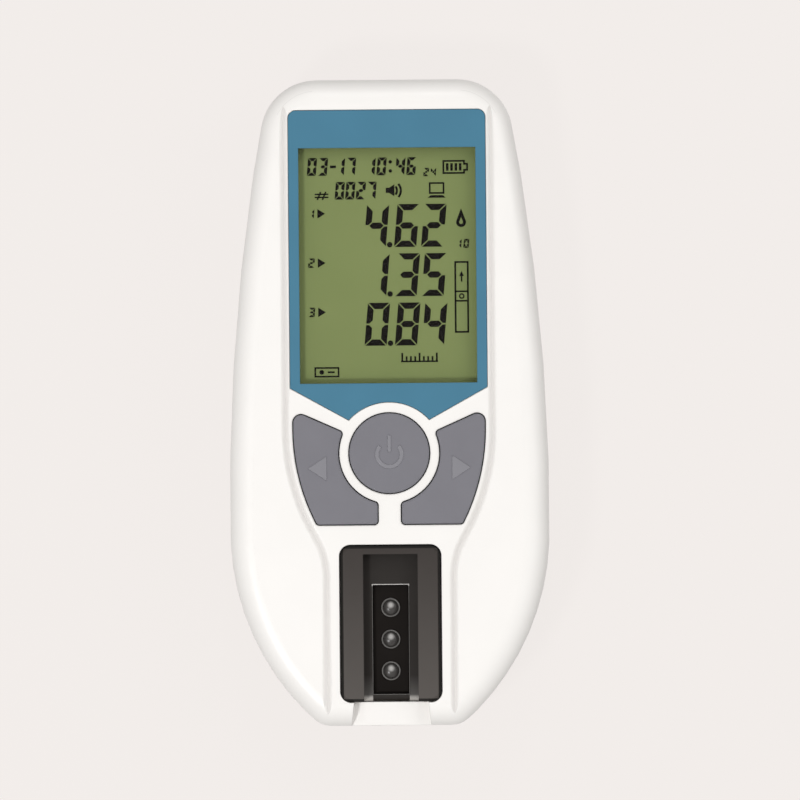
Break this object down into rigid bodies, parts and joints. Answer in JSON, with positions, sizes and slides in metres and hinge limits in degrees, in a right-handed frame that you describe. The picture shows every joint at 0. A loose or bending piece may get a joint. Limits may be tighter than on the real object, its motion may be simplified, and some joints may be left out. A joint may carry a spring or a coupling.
{
  "type": "dry chemistry analyzer",
  "caption": "Handheld dry chemistry analyzer: white shell, recessed display in a blue panel, grey keys and a black test strip holder over domed optics.",
  "frame": {"origin": "bottom centre of the bounding box, on the plane of the four feet", "axes": "the analyzer lies on its back: +Y towards the display end, +Z out of the front face, +X to the right seen from the front"},
  "size_m": [0.074, 0.15, 0.0268],
  "materials": {
    "casing": "satin white",
    "panel": "satin blue",
    "window": "clear",
    "lcd": "satin green",
    "tray": "matt black",
    "light_guide": "matt white",
    "elastomer": "matt",
    "keys": "matt grey",
    "silicone": "matt translucent grey",
    "holder": "satin black",
    "optics": "matt black",
    "lens": "polished",
    "chip": "matt",
    "board": "satin green",
    "flat_cable": "satin amber",
    "connector": "matt cream",
    "component": "matt black",
    "socket": "satin",
    "sounder": "matt black",
    "cell": "satin sleeve",
    "spring_steel": "bright",
    "screw": "satin",
    "foot": "matt"
  },
  "bodies": {
    "casing": {"front_casing": "casing", "rear_casing": "casing", "display_panel": "panel", "display_window": "window", "lcd_glass": "lcd", "lcd_frame": "tray", "backlight": "light_guide", "zebra_strip": "elastomer", "power_dome": "silicone", "left_dome": "silicone", "right_dome": "silicone", "optics_block": "optics", "lenses": "lens", "leds": "chip", "photodiodes": "component", "sensor_board": "board", "sensor_cable": "flat_cable", "cable_connectors": "connector", "main_board": "board", "board_components": "component", "usb_socket": "socket", "buzzer": "sounder", "batteries": "cell", "battery_contacts": "spring_steel", "battery_springs": "spring_steel", "casing_screws": "screw", "rubber_feet": "foot"},
    "power_key": {"power_key": "keys"},
    "left_key": {"left_key": "keys"},
    "right_key": {"right_key": "keys"},
    "strip_holder": {"strip_holder": "holder"},
    "battery_door": {"battery_door": "casing"}
  },
  "joints": [
    {"name": "power_press", "type": "slide", "parent": "casing", "child": "power_key", "axis": [0, 0, -1], "range_m": [0, 0.0007], "stiffness_N_per_m": 800, "springref_m": -0.0006, "deforming": ["power_dome"]},
    {"name": "left_press", "type": "slide", "parent": "casing", "child": "left_key", "axis": [0, 0, -1], "range_m": [0, 0.0007], "stiffness_N_per_m": 800, "springref_m": -0.0006, "deforming": ["left_dome"]},
    {"name": "right_press", "type": "slide", "parent": "casing", "child": "right_key", "axis": [0, 0, -1], "range_m": [0, 0.0007], "stiffness_N_per_m": 800, "springref_m": -0.0006, "deforming": ["right_dome"]},
    {"name": "holder_lift", "type": "slide", "parent": "casing", "child": "strip_holder", "axis": [0, 0, 1], "range_m": [0, 0.012]},
    {"name": "battery_door_swing", "type": "hinge", "parent": "casing", "child": "battery_door", "pos_m": [0, -0.00505, 0.001], "axis": [-1, 0, 0], "range_deg": [0, 60]}
  ]
}
